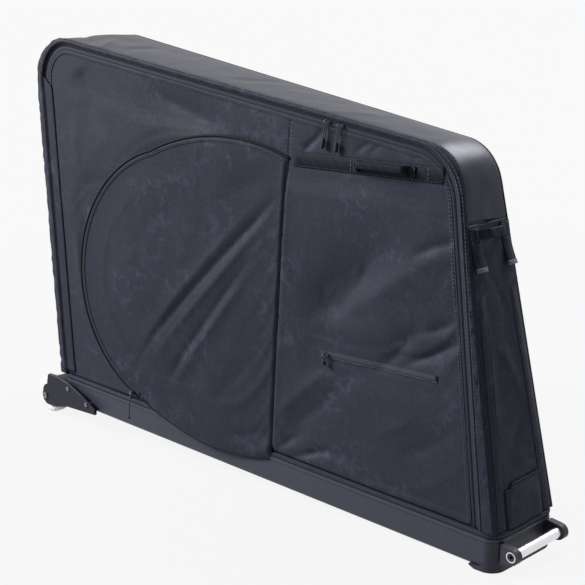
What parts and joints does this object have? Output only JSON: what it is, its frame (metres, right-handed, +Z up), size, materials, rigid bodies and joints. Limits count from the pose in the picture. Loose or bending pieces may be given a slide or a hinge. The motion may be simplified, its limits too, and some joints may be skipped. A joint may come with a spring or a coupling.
{
  "type": "bike travel case",
  "caption": "Soft-sided rolling travel case for a bicycle: cloth walls on a moulded tray, zip-open side with a wheel pocket, corner rollers and a pull tube.",
  "frame": {"origin": "middle of the bounding box on the floor the case stands on", "axes": "+X towards the pull-tube end, -Y the side that opens, +Z up"},
  "size_m": [1.3806, 0.3548, 0.8951],
  "materials": {
    "woven_cloth": "matte",
    "coated_cloth": "satin",
    "webbing": "matte",
    "zip_tape": "matte",
    "slider_metal": "satin",
    "pull_cord": "matte",
    "pull_rubber": "matte",
    "tray_plastic": "satin",
    "black_plastic": "satin",
    "roller_plastic": "satin",
    "hub_plastic": "matte",
    "bright_metal": "satin",
    "steel": "satin",
    "foam": "matte"
  },
  "bodies": {
    "case": {"base_board": "foam", "base_tray": "tray_plastic", "cradle_straps": "webbing", "edge_band_far": "webbing", "edge_band_near": "webbing", "far_pocket": "woven_cloth", "far_side": "woven_cloth", "frame_cradle": "foam", "front_bumper": "black_plastic", "front_pocket": "woven_cloth", "front_stay_far": "bright_metal", "front_stay_near": "bright_metal", "front_strap_far": "webbing", "front_strap_near": "webbing", "front_wall": "woven_cloth", "housing_screws_far": "steel", "housing_screws_near": "steel", "pocket_lobe": "woven_cloth", "pull_tube": "bright_metal", "rear_stay_far": "bright_metal", "rear_stay_near": "bright_metal", "rear_wall": "woven_cloth", "rim_binding": "webbing", "roller_axle_far": "steel", "roller_axle_near": "steel", "roller_housing_far": "black_plastic", "roller_housing_near": "black_plastic", "top_wall": "coated_cloth", "tube_lug_far": "black_plastic", "tube_lug_near": "black_plastic", "tube_plug_far": "black_plastic", "tube_plug_near": "black_plastic", "zip_border": "woven_cloth", "zip_tape_case": "zip_tape"},
    "side_panel": {"side_panel": "woven_cloth", "zip_tape_panel": "zip_tape", "wheel_pocket": "woven_cloth", "pocket_piping": "zip_tape", "hub_guard": "black_plastic", "wheel_strap": "webbing", "wheel_buckle": "black_plastic", "side_strap": "webbing", "small_zip": "zip_tape"},
    "roller_near": {"roller_tyre_near": "roller_plastic", "roller_hub_near": "hub_plastic"},
    "roller_far": {"roller_tyre_far": "roller_plastic", "roller_hub_far": "hub_plastic"},
    "zip_slider_a": {"zip_slider_a": "slider_metal"},
    "zip_pull_a": {"zip_cord_a": "pull_cord", "zip_tip_a": "pull_rubber"},
    "zip_slider_b": {"zip_slider_b": "slider_metal"},
    "zip_pull_b": {"zip_cord_b": "pull_cord", "zip_tip_b": "pull_rubber"},
    "small_slider": {"small_slider": "slider_metal"},
    "small_pull": {"small_cord": "pull_cord"},
    "pocket_slider": {"pocket_slider": "slider_metal"},
    "pocket_pull": {"pocket_cord": "pull_cord"},
    "side_handle": {"side_handle": "webbing"},
    "front_handle": {"front_handle": "webbing"}
  },
  "joints": [
    {"name": "side_panel_open", "type": "hinge", "parent": "case", "child": "side_panel", "pos_m": [0.00012, -0.11804, 0.09906], "axis": [0.9979, 0.0549, -0.0345], "range_deg": [0, 90], "deforming": ["pocket_lobe", "pocket_cord"]},
    {"name": "roller_near_spin", "type": "hinge", "parent": "case", "child": "roller_near", "pos_m": [-0.64531, -0.1321, 0.045], "axis": [0, 1, 0], "continuous": true},
    {"name": "roller_far_spin", "type": "hinge", "parent": "case", "child": "roller_far", "pos_m": [-0.64531, 0.1479, 0.045], "axis": [0, 1, 0], "continuous": true},
    {"name": "zip_slider_a_travel", "type": "slide", "parent": "side_panel", "child": "zip_slider_a", "axis": [0.9888, 0.0475, -0.1415], "range_m": [-0.777, 0]},
    {"name": "zip_pull_a_swing", "type": "hinge", "parent": "zip_slider_a", "child": "zip_pull_a", "pos_m": [0.2259, -0.06487, 0.76958], "axis": [-0.9888, -0.0475, 0.1415], "range_deg": [0, 100]},
    {"name": "zip_slider_b_travel", "type": "slide", "parent": "side_panel", "child": "zip_slider_b", "axis": [0.9888, 0.0475, -0.1415], "range_m": [0, 0.173], "deforming": ["zip_cord_b", "zip_tip_b"]},
    {"name": "zip_pull_b_swing", "type": "hinge", "parent": "zip_slider_b", "child": "zip_pull_b", "pos_m": [0.25877, -0.06329, 0.76487], "axis": [-0.9888, -0.0475, 0.1415], "range_deg": [0, 100]},
    {"name": "small_slider_travel", "type": "slide", "parent": "side_panel", "child": "small_slider", "axis": [0.998, 0.0586, 0.0231], "range_m": [0, 0.25]},
    {"name": "small_pull_swing", "type": "hinge", "parent": "small_slider", "child": "small_pull", "pos_m": [0.24327, -0.09357, 0.32478], "axis": [-0.998, -0.0586, -0.0231], "range_deg": [0, 100]},
    {"name": "pocket_slider_travel", "type": "hinge", "parent": "side_panel", "child": "pocket_slider", "pos_m": [-0.15641, -0.12827, 0.39992], "axis": [-0.1438, 0.9878, -0.0606], "range_deg": [0, 135], "deforming": ["pocket_cord"]},
    {"name": "pocket_pull_hang", "type": "hinge", "parent": "pocket_slider", "child": "pocket_pull", "pos_m": [-0.28047, -0.16656, 0.14102], "axis": [-0.1438, 0.9878, -0.0606], "range_deg": [-140, 5]},
    {"name": "side_handle_lift", "type": "hinge", "parent": "side_panel", "child": "side_handle", "pos_m": [0.3641, -0.05565, 0.70847], "axis": [-0.9983, -0.0575, -0.0056], "range_deg": [0, 80]},
    {"name": "front_handle_lift", "type": "hinge", "parent": "case", "child": "front_handle", "pos_m": [0.55202, 0.0079, 0.60564], "axis": [0, -1, 0], "range_deg": [0, 80]}
  ],
  "couplings": [
    {"joint": "pocket_pull_hang", "follows": "pocket_slider_travel", "ratio": -1}
  ]
}
